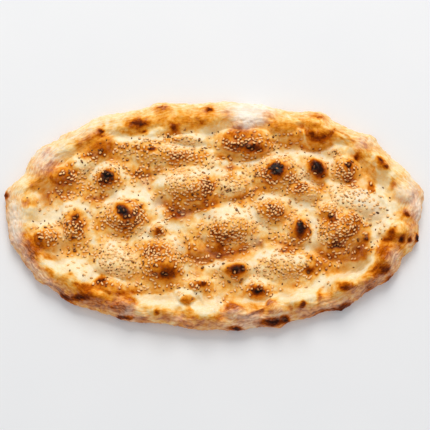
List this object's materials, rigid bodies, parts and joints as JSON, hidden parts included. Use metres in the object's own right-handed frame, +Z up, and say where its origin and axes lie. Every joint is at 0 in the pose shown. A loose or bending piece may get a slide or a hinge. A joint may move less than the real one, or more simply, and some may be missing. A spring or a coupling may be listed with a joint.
{
  "type": "turkish pide",
  "caption": "Flat oval leavened bread with a plump rim, its top pressed into browned pillows and hollows and strewn with sesame.",
  "frame": {"origin": "middle of the flat underside, on which the loaf rests", "axes": "+X along the loaf, +Y across it towards its far side, +Z up out of the seeded top"},
  "size_m": [0.3418, 0.1893, 0.0235],
  "materials": {
    "crust": "matte"
  },
  "bodies": {
    "root": {"pide": "crust"}
  },
  "joints": []
}
